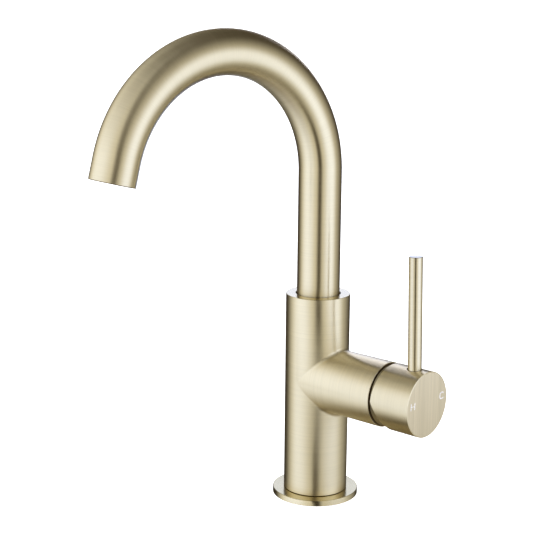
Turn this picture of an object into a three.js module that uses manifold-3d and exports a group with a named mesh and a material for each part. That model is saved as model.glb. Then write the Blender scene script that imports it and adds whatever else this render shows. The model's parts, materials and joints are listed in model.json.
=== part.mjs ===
// Single-lever bathroom mixer faucet: a round column with a side branch, a swivelling
// gooseneck spout and a cap handle with a pin lever over a 35 mm ceramic cartridge.
// Millimetres, +Z up. The origin is the column's axis on the deck, and the branch points
// along +X. Hot is the side towards -Y, cold the side towards +Y.

import * as THREE from 'three';
import { mergeVertices } from 'three/addons/utils/BufferGeometryUtils.js';
import Module from 'manifold-3d';

const wasm = await Module();
wasm.setup();

// ---------------------------------------------------------------- driving dimensions

const FIT = 0.3;                  // gap between pieces that touch
const ROUND = 36;                 // sides of a large round piece
const MEDIUM_ROUND = 24;
const SMALL_ROUND = 16;

const BODY_R = 21;                // column, branch and handle cap: 42 mm, for a 35 mm cartridge
const BODY_TOP = 137.3;
const FLANGE_R = 28.35;
const FLANGE_H = 3.9;
const FOOT_R = 18.1;              // foot of the column, inside the flange

const BRANCH_Z = 80.7;            // height of the branch axis
const BRANCH_END = 58.9;

const TUBE_R = 14;
const TUBE_BORE_R = 12.2;
const TUBE_FOOT = 128;            // lower end of the tube, inside the column
const ARC_Z = 217.3;              // height at which the tube starts to bend
const ARC_R = 78.1;               // centre-line radius of the bend
const ARC_SWEEP = 165.4;          // degrees
const TIP = 13.8;                 // straight end after the bend
const SPOUT_TO_HANDLE = 99;       // degrees between spout and handle at rest

const CAP_BACK = 60.3;
const CAP_FACE = 89.2;
const EDGE = 0.4;                 // chamfer on the cap's and the lever's rim
const CAP_BACK_SLOPE = 5.4;       // degrees, upper half of the cap's back edge
const PIVOT_X = 46;               // the handle tilts about a pin here
const TILT = 24;                  // degrees from closed to full flow

const LEVER_R = 4.35;
const LEVER_X = 79.4;             // where the lever's axis meets the branch axis
const LEVER_LEAN = 1.5;           // degrees, towards the column
const LEVER_LENGTH = 92.2;        // from the branch axis to the lever's top

// Waterways in the column
const SOCKET_R = 5.1;             // hose socket, M10 x 1
const SOCKET_DEPTH = 16;
const CHANNEL = { x: 5, y: 10, r: 3.6 };
const STUD = { x: -10.5, r: 4.1, depth: 14 };
const RISER_R = 5.5;
const RISER_FOOT = 69;            // the outlet port meets the riser above this

// Ports of the cartridge, as places across its axis: y to the side, z up
const INLET = { y: 6, z: 3.8, r: 2.8 };
const OUTLET = { y: 0, z: -7.5, r: 3.4 };
const SEAL_WALL = 1.5;
const KEY = 2.5;                  // hexagon key of both small screws

// Stations of the cartridge along the branch axis
const SEAT_X = 22;
const BASE_X = SEAT_X + 0.6;
const SHELL_X = 24.9;
const FIXED_DISC_X = 27.5;
const DISC_H = 3.5;
const MOVING_DISC_X = FIXED_DISC_X + DISC_H + FIT;
const CARRIER_X = MOVING_DISC_X + DISC_H + FIT;
const CARRIER_TOP = 39.3;
const ROTOR_X = 39.7;
const ROTOR_SHOULDER = 43.9;
const SHELL_SHOULDER = 47;
const SHELL_TOP = 51.5;
const ROTOR_TOP = 53;
const NUT_TOP = 55.5;
const STEM_END = 80;

const CHAMBER_R = 17.8;
const THREAD_BORE_R = 19;
const THREAD_R = THREAD_BORE_R - 0.4;
const SHELL_R = 17.4;
const SHELL_INNER_R = 15.2;
const SHELL_NECK_R = 14.2;
const NECK_BORE_R = 11.6;
const DISC_REST_Z = -1.5;         // the moving disc starts below the axis, where it closes
const BALL_ARM = 7.4;             // from the pin to the centre of the stem's ball
const BALL_R = 2.45;
const PIN_R = 1.5;
const STEM = { halfY: 4, halfZ: 3.5 };
const BONNET_R = 23.9;            // sphere about the pin that the cap's rim slides over

// Spout tail in the column
const TAIL_BORE_R = 9.9;
const TAIL_BORE_FLOOR = 99;
const TAIL_R = 9.5;
const TAIL_BOTTOM = 100;
const GROOVE_R = 7.6;
const LOWER_RING_Z = 103.4;
const LOCK_Z = 108.2;
const UPPER_RING_Z = 113;
const STEP_Z = 116.4;             // floor of the wide bore for the tube
const WIDE_BORE_R = 14.4;
const LOCK_SCREW_R = 2.25;
const BEARING = { from: 120.1, to: 124.7, rIn: 13.2, rOut: 14.1, seat: 12.9 };
const O_RING = { thick: 0.9, groove: 1.25 };

// ---------------------------------------------------------------- materials

function finish(color, metalness, roughness) {
  return new THREE.MeshStandardMaterial({ color, metalness, roughness });
}
const champagne = () => finish(0xd8ccab, 1, 0.3);
const brass = () => finish(0xc9a85a, 1, 0.35);
const steel = () => finish(0xb4b6b8, 1, 0.3);
const ceramic = () => finish(0xeeece6, 0, 0.25);
const greyPlastic = () => finish(0x5b6066, 0, 0.5);
const whitePlastic = () => finish(0xe6e6e0, 0, 0.45);
const rubber = () => finish(0x1c1c1e, 0, 0.8);

// ---------------------------------------------------------------- solids

const radians = THREE.MathUtils.degToRad;

// A closed three.js geometry as a solid, with its faces turned outwards.
function toSolid(geometry) {
  const bare = geometry.clone();
  bare.deleteAttribute('normal');
  bare.deleteAttribute('uv');
  const merged = mergeVertices(bare, 1e-4);
  const vertices = new Float32Array(merged.attributes.position.array);
  const corner = (i) => new THREE.Vector3().fromArray(vertices, 3 * i);
  const triangles = [];
  let volume = 0;
  for (let i = 0; i < merged.index.count; i += 3) {
    const [a, b, c] = [0, 1, 2].map((k) => merged.index.getX(i + k));
    if (a === b || b === c || c === a) continue;
    triangles.push([a, b, c]);
    volume += corner(a).dot(corner(b).cross(corner(c)));
  }
  if (volume < 0) triangles.forEach((t) => t.reverse());
  const triVerts = new Uint32Array(triangles.flat());
  return new wasm.Manifold(new wasm.Mesh({ numProp: 3, vertProperties: vertices, triVerts }));
}

function toGeometry(solid) {
  const mesh = solid.getMesh();
  const geometry = new THREE.BufferGeometry();
  geometry.setAttribute('position', new THREE.BufferAttribute(mesh.vertProperties, 3));
  geometry.setIndex(new THREE.BufferAttribute(mesh.triVerts, 1));
  geometry.computeVertexNormals();
  return geometry;
}

// Turned pieces. A profile is a list of [radius, station] that starts and ends on the
// axis, or closes on itself when the piece has a bore.
function lathe(profile, sides) {
  const points = profile.map(([r, s]) => new THREE.Vector2(r, s));
  if (profile[0][0] > 0) points.push(points[0].clone());
  return new THREE.LatheGeometry(points, sides);
}
const turnedZ = (profile, sides = ROUND) => toSolid(lathe(profile, sides).rotateX(Math.PI / 2));
const turnedX = (profile, sides = ROUND) => toSolid(lathe(profile, sides).rotateZ(-Math.PI / 2));
const turnedY = (profile, sides = ROUND) => toSolid(lathe(profile, sides));

// A plain round bar or bore from one station to another.
const bar = (r, from, to) => [[0, from], [r, from], [r, to], [0, to]];
const tube = (rIn, rOut, from, to) => [[rIn, from], [rOut, from], [rOut, to], [rIn, to]];

function block([x0, x1], [y0, y1], [z0, z1]) {
  const box = new THREE.BoxGeometry(x1 - x0, y1 - y0, z1 - z0);
  return toSolid(box.translate((x0 + x1) / 2, (y0 + y1) / 2, (z0 + z1) / 2));
}

// A hexagonal key socket along +Z, `across` wide over its flats.
function hexSocket(across, from, to) {
  return turnedZ(bar(across / Math.sqrt(3), from, to), 6);
}

function piece(name, solid, material) {
  const mesh = new THREE.Mesh(toGeometry(solid), material);
  mesh.name = name;
  return mesh;
}

function group(children, place = () => {}) {
  const holder = new THREE.Group();
  holder.add(...children);
  place(holder);
  return holder;
}

// ---------------------------------------------------------------- column and base

function mixerBody() {
  const shoulder = FLANGE_H + FIT;
  const column = turnedZ([
    [0, 0], [FOOT_R, 0], [FOOT_R, shoulder], [BODY_R, shoulder], [BODY_R, BODY_TOP], [0, BODY_TOP],
  ]);
  const branch = turnedX(bar(BODY_R, 0.5, BRANCH_END)).translate([0, 0, BRANCH_Z]);
  const spoutBore = turnedZ([
    [0, RISER_FOOT], [RISER_R, RISER_FOOT], [RISER_R, TAIL_BORE_FLOOR],
    [TAIL_BORE_R, TAIL_BORE_FLOOR], [TAIL_BORE_R, STEP_Z],
    [WIDE_BORE_R, STEP_Z], [WIDE_BORE_R, BODY_TOP + 1], [0, BODY_TOP + 1],
  ]);
  const chamber = turnedX([
    [0, SEAT_X], [CHAMBER_R, SEAT_X], [CHAMBER_R, SHELL_SHOULDER - 0.5],
    [THREAD_BORE_R, SHELL_SHOULDER - 0.5], [THREAD_BORE_R, BRANCH_END + 1], [0, BRANCH_END + 1],
  ]).translate([0, 0, BRANCH_Z]);
  const lockHole = turnedY(bar(LOCK_SCREW_R + 0.35, TAIL_BORE_R - 1, BODY_R + 1), SMALL_ROUND)
    .translate([0, 0, LOCK_Z]);
  const studHole = turnedZ(bar(STUD.r, -1, STUD.depth), SMALL_ROUND).translate([STUD.x, 0, 0]);
  const outletPort = turnedX(bar(OUTLET.r, 0, SEAT_X + 0.5), SMALL_ROUND)
    .translate([0, OUTLET.y, BRANCH_Z + OUTLET.z]);
  let solid = column.add(branch).subtract(spoutBore).subtract(chamber);
  solid = solid.subtract(lockHole).subtract(studHole).subtract(outletPort);
  for (const side of [-1, 1]) {
    const inlet = turnedZ([
      [0, -1], [SOCKET_R, -1], [SOCKET_R, SOCKET_DEPTH], [CHANNEL.r, SOCKET_DEPTH],
      [CHANNEL.r, BRANCH_Z + INLET.z + INLET.r], [0, BRANCH_Z + INLET.z + INLET.r],
    ], SMALL_ROUND).translate([CHANNEL.x, side * CHANNEL.y, 0]);
    const port = turnedX(bar(INLET.r, CHANNEL.x + 1.5, SEAT_X + 0.5), SMALL_ROUND)
      .translate([0, side * INLET.y, BRANCH_Z + INLET.z]);
    solid = solid.subtract(inlet).subtract(port);
  }
  return piece('mixer_body', solid, champagne());
}

const GASKET = { rIn: 20.5, rOut: 25.5, top: 2.2 };

function baseFlange() {
  const ring = turnedZ(tube(FOOT_R + FIT, FLANGE_R, 0, FLANGE_H));
  const groove = turnedZ(tube(GASKET.rIn - FIT, GASKET.rOut + FIT, -1, GASKET.top + FIT));
  return piece('base_flange', ring.subtract(groove), champagne());
}

function baseGasket() {
  const ring = turnedZ(tube(GASKET.rIn, GASKET.rOut, 0.1, GASKET.top), MEDIUM_ROUND);
  return piece('base_gasket', ring, rubber());
}

function spoutLockScrew() {
  const tip = GROOVE_R + 0.4;
  const neck = TAIL_BORE_R + 0.5;
  const head = BODY_R - 1;
  const screw = turnedZ([
    [0, tip], [1.5, tip], [1.5, neck], [LOCK_SCREW_R, neck + 0.7], [LOCK_SCREW_R, head], [0, head],
  ], SMALL_ROUND);
  const keyed = screw.subtract(hexSocket(KEY, head - 3, head + 1));
  return piece('spout_lock_screw', keyed.rotate([-90, 0, 0]).translate([0, 0, LOCK_Z]), steel());
}

function thrustWasher() {
  const ring = tube(TAIL_BORE_R + FIT, WIDE_BORE_R - 0.4, STEP_Z + FIT, STEP_Z + 1.2);
  return piece('thrust_washer', turnedZ(ring, MEDIUM_ROUND), whitePlastic());
}

// ---------------------------------------------------------------- cartridge, along +X

const PORTS = [
  { seal: 'hot_seal', y: -INLET.y, z: INLET.z, r: INLET.r },
  { seal: 'cold_seal', y: INLET.y, z: INLET.z, r: INLET.r },
  { seal: 'outlet_seal', y: OUTLET.y, z: OUTLET.z, r: OUTLET.r },
];

function cartridgeBase() {
  const step = SHELL_X - FIT;
  const top = FIXED_DISC_X - 0.5;
  const spigotR = SHELL_INNER_R - FIT;
  let solid = turnedX([
    [0, BASE_X], [SHELL_R, BASE_X], [SHELL_R, step], [spigotR, step], [spigotR, top], [0, top],
  ], MEDIUM_ROUND);
  for (const { y, z, r } of PORTS) {
    const hole = turnedX(bar(r + SEAL_WALL + FIT, 0, FIXED_DISC_X), SMALL_ROUND);
    solid = solid.subtract(hole.translate([0, y, z]));
  }
  return piece('cartridge_base', solid, greyPlastic());
}

function portSeals() {
  return PORTS.map(({ seal, y, z, r }) => {
    const sleeve = turnedX(tube(r, r + SEAL_WALL, SEAT_X + FIT, FIXED_DISC_X - FIT), SMALL_ROUND);
    return piece(seal, sleeve.translate([0, y, z]), rubber());
  });
}

function cartridgeShell() {
  const roof = SHELL_SHOULDER - 2.8;
  const shell = turnedX([
    [SHELL_INNER_R, SHELL_X], [SHELL_R, SHELL_X], [SHELL_R, SHELL_SHOULDER],
    [SHELL_NECK_R, SHELL_SHOULDER], [SHELL_NECK_R, SHELL_TOP], [NECK_BORE_R, SHELL_TOP],
    [NECK_BORE_R, roof], [SHELL_INNER_R, roof],
  ], MEDIUM_ROUND);
  return piece('cartridge_shell', shell, greyPlastic());
}

function fixedDisc() {
  const top = FIXED_DISC_X + DISC_H;
  let solid = turnedX(bar(SHELL_INNER_R - 0.4, FIXED_DISC_X, top), MEDIUM_ROUND);
  for (const { y, z, r } of PORTS) {
    const port = turnedX(bar(r, FIXED_DISC_X - 1, top + 1), SMALL_ROUND);
    solid = solid.subtract(port.translate([0, y, z]));
  }
  return piece('fixed_disc', solid, ceramic());
}

// The mixing hollow faces the fixed disc. Its straight edge shuts both inlets at rest.
function movingDisc() {
  const from = MOVING_DISC_X;
  const disc = turnedX(bar(12.2, from, from + DISC_H), MEDIUM_ROUND).translate([0, 0, DISC_REST_Z]);
  const round = turnedX(bar(9.6, from - 1, from + 1.8), MEDIUM_ROUND).translate([0, 0, DISC_REST_Z]);
  const edge = INLET.z - INLET.r - FIT;
  const shutOff = block([from - 2, from + DISC_H], [-15, 15], [edge, 15]);
  return piece('moving_disc', disc.subtract(round.subtract(shutOff)), ceramic());
}

function discCarrier() {
  const carrier = turnedX(bar(10.9, CARRIER_X, CARRIER_TOP), MEDIUM_ROUND)
    .translate([0, 0, DISC_REST_Z]);
  const ballSocket = turnedX(bar(BALL_R + 0.4, CARRIER_X + 0.7, CARRIER_TOP + 1), SMALL_ROUND);
  return piece('disc_carrier', carrier.subtract(ballSocket), whitePlastic());
}

function cartridgeRotor() {
  let solid = turnedX([
    [0, ROTOR_X], [SHELL_INNER_R - FIT, ROTOR_X], [SHELL_INNER_R - FIT, ROTOR_SHOULDER],
    [NECK_BORE_R - 0.4, ROTOR_SHOULDER], [NECK_BORE_R - 0.4, ROTOR_TOP], [0, ROTOR_TOP],
  ], MEDIUM_ROUND);
  for (const side of [-1, 1]) {
    const rail = [side * 11.3, side * 13.3].sort((a, b) => a - b);
    solid = solid.add(block([CARRIER_X + FIT, ROTOR_X + 1], rail, [-5, 5]));
  }
  const slotY = STEM.halfY + FIT;
  const stemSlot = block([ROTOR_X - 1, ROTOR_TOP + 1], [-slotY, slotY], [-7.8, 5.8]);
  const pinHole = turnedY(bar(PIN_R + FIT, -12, 12), SMALL_ROUND).translate([PIVOT_X, 0, 0]);
  return piece('cartridge_rotor', solid.subtract(stemSlot).subtract(pinHole), whitePlastic());
}

function stemPin() {
  const pin = turnedY(bar(PIN_R, -10.4, 10.4), SMALL_ROUND);
  return piece('stem_pin', pin.translate([PIVOT_X, 0, 0]), steel());
}

function cartridgeStem() {
  const { halfY, halfZ } = STEM;
  const ballX = PIVOT_X - BALL_ARM;
  const ball = toSolid(new THREE.SphereGeometry(BALL_R, 16, 10)).translate([ballX, 0, 0]);
  const neck = turnedX(bar(1.7, ballX, PIVOT_X - 3), SMALL_ROUND);
  const shank = block([PIVOT_X - 4, STEM_END], [-halfY, halfY], [-halfZ, halfZ]);
  const pinHole = turnedY(bar(PIN_R + FIT, -9, 9), SMALL_ROUND).translate([PIVOT_X, 0, 0]);
  return piece('cartridge_stem', ball.add(neck).add(shank).subtract(pinHole), brass());
}

function retainingNut() {
  const nut = tube(SHELL_NECK_R + FIT, THREAD_R, SHELL_SHOULDER + FIT, NUT_TOP);
  let solid = turnedX(nut, MEDIUM_ROUND);
  for (const turn of [0, 90]) {
    const slot = block([NUT_TOP - 3, NUT_TOP + 1], [-2, 2], [-20, 20]).rotate([turn, 0, 0]);
    solid = solid.subtract(slot);
  }
  return piece('retaining_nut', solid, brass());
}

// The bonnet closes the branch's mouth. Its outside is part of a sphere about the pin.
function bonnetRing() {
  const domeStart = BRANCH_END + 0.8;
  const domeEnd = 64.8;
  const steps = 4;
  const dome = [];
  for (let i = 0; i <= steps; i += 1) {
    const x = domeStart + ((domeEnd - domeStart) * i) / steps;
    dome.push([Math.sqrt(BONNET_R ** 2 - (x - PIVOT_X) ** 2), x]);
  }
  const ring = turnedX([
    [16.5, NUT_TOP + 0.5], [THREAD_R, NUT_TOP + 0.5], [THREAD_R, domeStart],
    ...dome, [13.6, domeEnd], [13.6, domeEnd - 0.8], [16.5, 60.5],
  ]);
  return piece('bonnet_ring', ring, champagne());
}

// ---------------------------------------------------------------- handle, along +X

const CAP_FLOOR = 70.5;
const CAP_BORE_R = 19.6;
const LEVER_SEAT = 19;            // the rod's shoulder, from the branch axis
const LEVER_THREAD = { r: 2.9, from: 12 };
const GRUB = { x: 75, r: 2.25, from: -12, to: -3.9 };

const leaned = (solid) => solid.rotate([0, -LEVER_LEAN, 0]).translate([LEVER_X, 0, 0]);

function handleCap() {
  const outside = turnedX([
    [0, CAP_BACK], [BODY_R, CAP_BACK], [BODY_R, CAP_FACE - EDGE], [BODY_R - EDGE, CAP_FACE],
    [0, CAP_FACE],
  ]);
  const hollow = turnedX([
    [0, CAP_BACK - 1], [CAP_BORE_R, CAP_BACK - 1], [CAP_BORE_R, CAP_FLOOR - 4.5],
    [15, CAP_FLOOR], [0, CAP_FLOOR],
  ]);
  const stemSocket = block(
    [CAP_FLOOR - 1, STEM_END + 1],
    [-STEM.halfY - FIT, STEM.halfY + FIT],
    [-STEM.halfZ - FIT, STEM.halfZ + FIT],
  );
  const threadR = LEVER_THREAD.r + FIT;
  const rodR = LEVER_R + FIT;
  const leverHole = leaned(turnedZ([
    [0, LEVER_THREAD.from - FIT], [threadR, LEVER_THREAD.from - FIT],
    [threadR, LEVER_SEAT - FIT], [rodR, LEVER_SEAT - FIT], [rodR, BODY_R + 2], [0, BODY_R + 2],
  ], MEDIUM_ROUND));
  const grubHole = turnedZ(bar(GRUB.r + 0.35, -BODY_R - 1, -STEM.halfZ), SMALL_ROUND)
    .translate([GRUB.x, 0, 0]);

  // Turned back by the tilt, the relief is the plane just outside the branch's end face.
  const reach = BRANCH_END + 0.4 - PIVOT_X;
  const relief = block([reach - 60, reach], [-40, 40], [-60, 60])
    .rotate([0, -TILT, 0]).translate([PIVOT_X, 0, 0]);
  const backSlope = block([-20, 0], [-40, 40], [-40, 40])
    .rotate([0, CAP_BACK_SLOPE, 0]).translate([CAP_BACK, 0, 0]);
  let solid = outside.subtract(hollow).subtract(stemSocket).subtract(leverHole);
  solid = solid.subtract(grubHole).subtract(relief).subtract(backSlope);
  return piece('handle_cap', solid, champagne());
}

function leverRod() {
  const rod = turnedZ([
    [0, LEVER_THREAD.from], [LEVER_THREAD.r, LEVER_THREAD.from], [LEVER_THREAD.r, LEVER_SEAT],
    [LEVER_R, LEVER_SEAT], [LEVER_R, LEVER_LENGTH - EDGE], [LEVER_R - EDGE, LEVER_LENGTH],
    [0, LEVER_LENGTH],
  ], MEDIUM_ROUND);
  return piece('lever_rod', leaned(rod), champagne());
}

function handleGrubScrew() {
  const screw = turnedZ(bar(GRUB.r, GRUB.from, GRUB.to), SMALL_ROUND);
  const key = hexSocket(KEY, GRUB.from - 1, GRUB.from + 3);
  return piece('handle_grub_screw', screw.subtract(key).translate([GRUB.x, 0, 0]), steel());
}

// ---------------------------------------------------------------- spout, towards -Y

// The centre line: one straight step, two arcs that meet at the top, one straight step.
const RISE_STEPS = 14;
const FALL_STEPS = 12;
const PATH_STEPS = 1 + RISE_STEPS + FALL_STEPS + 1;

class SpoutPath extends THREE.Curve {
  getUtoTmapping(u) {
    return u;
  }

  getPoint(t) {
    const step = t * PATH_STEPS;
    if (step <= 1) return new THREE.Vector3(0, 0, THREE.MathUtils.lerp(TUBE_FOOT, ARC_Z, step));
    const risen = Math.min(step - 1, RISE_STEPS) / RISE_STEPS;
    const fallen = THREE.MathUtils.clamp((step - 1 - RISE_STEPS) / FALL_STEPS, 0, 1);
    const angle = radians(90 * risen + (ARC_SWEEP - 90) * fallen);
    const onward = TIP * Math.max(step - (PATH_STEPS - 1), 0);
    const y = -ARC_R * (1 - Math.cos(angle)) - onward * Math.sin(angle);
    const z = ARC_Z + ARC_R * Math.sin(angle) + onward * Math.cos(angle);
    return new THREE.Vector3(0, y, z);
  }
}
const spoutPath = new SpoutPath();

function spoutTube() {
  const wall = new THREE.Shape().absarc(0, 0, TUBE_R, 0, 2 * Math.PI);
  wall.holes.push(new THREE.Path().absarc(0, 0, TUBE_BORE_R, 0, 2 * Math.PI, true));
  const sweep = { extrudePath: spoutPath, steps: PATH_STEPS, curveSegments: MEDIUM_ROUND / 2 };
  return piece('spout_tube', toSolid(new THREE.ExtrudeGeometry(wall, sweep)), champagne());
}

function spoutTail() {
  const groove = (z, half) => [
    [TAIL_R, z - half], [GROOVE_R, z - half], [GROOVE_R, z + half], [TAIL_R, z + half],
  ];
  const collar = TUBE_R - 0.1;
  const collarZ = STEP_Z + 1.5;
  const spigotR = TUBE_BORE_R - 0.4;
  const spigotTop = TUBE_FOOT + 13;
  const tail = turnedZ([
    [5, TAIL_BOTTOM], [TAIL_R, TAIL_BOTTOM],
    ...groove(LOWER_RING_Z, O_RING.groove), ...groove(LOCK_Z, 1.9),
    ...groove(UPPER_RING_Z, O_RING.groove), [TAIL_R, collarZ], [collar, collarZ],
    [collar, BEARING.from - FIT], [BEARING.seat, BEARING.from - FIT],
    [BEARING.seat, BEARING.to + FIT], [collar, BEARING.to + FIT], [collar, TUBE_FOOT - FIT],
    [spigotR, TUBE_FOOT - FIT], [spigotR, spigotTop], [9, spigotTop], [9, 126], [5, 122],
  ], MEDIUM_ROUND);
  return piece('spout_tail', tail, brass());
}

function bearingRing() {
  const ring = turnedZ(tube(BEARING.rIn, BEARING.rOut, BEARING.from, BEARING.to));
  const split = block([-0.8, 0.8], [0, 20], [BEARING.from - 1, BEARING.to + 1]);
  return piece('bearing_ring', ring.subtract(split), whitePlastic());
}

function oRing(name, z) {
  const ring = new THREE.TorusGeometry(GROOVE_R + FIT + O_RING.thick, O_RING.thick, 6, MEDIUM_ROUND);
  return piece(name, toSolid(ring).translate([0, 0, z]), rubber());
}

// The outlet's pieces are drawn upright, with z counted from the tube's end up its bore.
const INSERT = { from: 1, to: 13.2, rIn: 10.2, lip: 8 };
const AERATOR_R = 9.8;

function outletInsert() {
  const ledge = INSERT.to - 1;
  const insert = turnedZ([
    [INSERT.rIn, INSERT.from], [TUBE_BORE_R - 0.4, INSERT.from], [TUBE_BORE_R - 0.4, INSERT.to],
    [INSERT.lip, INSERT.to], [INSERT.lip, ledge], [INSERT.rIn, ledge],
  ], SMALL_ROUND);
  return piece('outlet_insert', insert, brass());
}

function aeratorHousing() {
  let solid = turnedZ([
    [8.2, 1.6], [AERATOR_R, 1.6], [AERATOR_R, 10], [6.5, 10], [6.5, 8.3], [8.2, 8.3],
  ], SMALL_ROUND);
  for (const turn of [0, 90]) {
    solid = solid.subtract(block([-1.2, 1.2], [-12, 12], [1, 2.8]).rotate([0, 0, turn]));
  }
  return piece('aerator_housing', solid, whitePlastic());
}

function aeratorCore() {
  let solid = turnedZ(bar(7.9, 3.2, 8), SMALL_ROUND);
  const rings = [{ r: 0, holes: 1 }, { r: 3, holes: 6 }, { r: 5.9, holes: 12 }];
  for (const { r, holes } of rings) {
    for (let i = 0; i < holes; i += 1) {
      const a = (2 * Math.PI * i) / holes;
      const hole = turnedZ(bar(1.1, 2, 9), 6).translate([r * Math.cos(a), r * Math.sin(a), 0]);
      solid = solid.subtract(hole);
    }
  }
  return piece('aerator_core', solid, whitePlastic());
}

function aeratorGasket() {
  return piece('aerator_gasket', turnedZ(tube(7, AERATOR_R, 10.3, 11.9), SMALL_ROUND), rubber());
}

// ---------------------------------------------------------------- assembly

const base = group([mixerBody(), baseFlange(), baseGasket(), spoutLockScrew(), thrustWasher()]);

const branch = group([
  cartridgeBase(), ...portSeals(), cartridgeShell(), fixedDisc(), movingDisc(), discCarrier(),
  cartridgeRotor(), stemPin(), cartridgeStem(), retainingNut(), bonnetRing(),
  handleCap(), leverRod(), handleGrubScrew(),
], (g) => g.position.setZ(BRANCH_Z));

const outlet = group([outletInsert(), aeratorHousing(), aeratorCore(), aeratorGasket()], (g) => {
  g.position.copy(spoutPath.getPoint(1));
  g.rotation.x = -radians(180 - ARC_SWEEP);
});

const spout = group([
  spoutTube(), spoutTail(), bearingRing(), oRing('lower_o_ring', LOWER_RING_Z),
  oRing('upper_o_ring', UPPER_RING_Z), outlet,
], (g) => { g.rotation.z = -radians(SPOUT_TO_HANDLE - 90); });

export default group([base, branch, spout]);
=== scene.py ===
import json
import math

import bmesh
import bpy
from mathutils import Matrix, Vector


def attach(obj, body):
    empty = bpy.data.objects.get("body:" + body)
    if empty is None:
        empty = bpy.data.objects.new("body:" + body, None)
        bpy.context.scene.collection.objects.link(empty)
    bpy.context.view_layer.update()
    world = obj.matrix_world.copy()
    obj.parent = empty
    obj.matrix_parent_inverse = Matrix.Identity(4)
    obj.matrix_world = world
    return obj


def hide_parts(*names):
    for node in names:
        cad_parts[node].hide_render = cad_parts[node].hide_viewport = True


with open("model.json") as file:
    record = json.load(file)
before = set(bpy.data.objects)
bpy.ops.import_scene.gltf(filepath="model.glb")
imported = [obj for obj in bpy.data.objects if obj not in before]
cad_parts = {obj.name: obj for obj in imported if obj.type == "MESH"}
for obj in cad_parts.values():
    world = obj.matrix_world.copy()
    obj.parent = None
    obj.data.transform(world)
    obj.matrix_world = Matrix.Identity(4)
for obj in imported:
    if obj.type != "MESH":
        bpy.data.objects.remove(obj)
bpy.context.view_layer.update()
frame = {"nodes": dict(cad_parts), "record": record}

MM = 0.001

# Main dimensions, in millimetres, as in the CAD model. Only the mouth of the column's bore, the
# lever's hole in the cap and the roundings of the edges are the visual model's own.

# Column, flange and branch
BODY_R = 21
BODY_TOP = 137.3
FOOT_R = 18.1
FLANGE_R = 28.35
FLANGE_H = 3.9
FOOT_Z = FLANGE_H + 0.3
BRANCH_Z = 80.7
BRANCH_END = 58.9
MOUTH_R, MOUTH_FLOOR = 14.8, 116.4
TAIL_BORE_R, TAIL_BORE_FLOOR = 9.9, 99
WATERWAY_R, WATERWAY_FLOOR = 5.5, 69
NUT_BORE_R, NUT_BORE_FLOOR = 19, 46.5
CHAMBER_R, CHAMBER_FLOOR = 17.8, 22
LOCK_Z = 108.2
STUD_X, STUD_R, STUD_TOP = -10.5, 4.1, 14
HOSE_X, HOSE_Y, HOSE_R, HOSE_TOP = 5, 10, 5.1, 16
FEED_R, FEED_TOP = 3.6, 45
GROOVE_IN, GROOVE_OUT, GROOVE_DEPTH = 20.2, 25.8, 2.5
DOME_R = 23.9
DOME_FROM, DOME_DEPTH = 59.7, 5.1

# Spout
TUBE_R = 14
TUBE_BORE_R = 12.2
TUBE_FOOT = 128
ARC_Z = 217.3
ARC_R = 78.1
ARC_SWEEP = math.radians(165.4)
TIP = 13.8
SPOUT_TURN = math.radians(-9)

# Handle
CAP_BACK = 60.3
CAP_FACE = 89.2
CAP_BORE_R = 19.6
CAP_BACK_SLOPE = math.radians(5.4)
PIVOT_X = 46
TILT = math.radians(24)
LEVER_R = 4.35
LEVER_X = 79.4
LEVER_LEAN = math.radians(1.5)
LEVER_LENGTH = 92.2
LEVER_HOLE_R = LEVER_R + 0.5
GRUB_X = 75

# Where each turned piece's axis lies: its own +Z along the real one.
UPRIGHT = Matrix.Identity(4)
BRANCH = Matrix(((0, 0, 1, 0), (1, 0, 0, 0), (0, 1, 0, BRANCH_Z), (0, 0, 0, 1)))
LEVER = Matrix.Translation((LEVER_X, 0, BRANCH_Z)) @ Matrix.Rotation(-LEVER_LEAN, 4, "Y")
SPOUT = Matrix.Rotation(SPOUT_TURN, 4, "Z")
LOCK = Matrix.Translation((0, 0, LOCK_Z)) @ Matrix.Rotation(-math.pi / 2, 4, "X")
GRUB = Matrix.Translation((GRUB_X, 0, BRANCH_Z))


# ------------------------------------------------------------------ node materials

def node_material(name):
    material = bpy.data.materials.new(name)
    material.use_nodes = True
    nodes = material.node_tree.nodes
    return material, nodes, material.node_tree.links, nodes["Principled BSDF"]


def add(nodes, kind, **settings):
    """A new node. A setting is the value of an input by that name, or else a property."""
    node = nodes.new(kind)
    for key, value in settings.items():
        if key in node.inputs:
            node.inputs[key].default_value = value
        else:
            setattr(node, key, value)
    return node


def ramp(nodes, links, source, low, high):
    """The source, from 0 to 1, carried to low to high."""
    node = add(nodes, "ShaderNodeMapRange")
    node.inputs["To Min"].default_value = low
    node.inputs["To Max"].default_value = high
    links.new(source, node.inputs["Value"])
    return node.outputs["Result"]


def blend_colors(nodes, links, factor, first, second):
    node = add(nodes, "ShaderNodeMix", data_type="RGBA")
    node.inputs["A"].default_value = (*first, 1)
    node.inputs["B"].default_value = (*second, 1)
    links.new(factor, node.inputs["Factor"])
    return node.outputs["Result"]


# How often the noise changes in a metre, along the brush lines twice and then across them.
FINE_GRAIN = (14, 14, 1300)
BROAD_GRAIN = (7, 7, 340)


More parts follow.
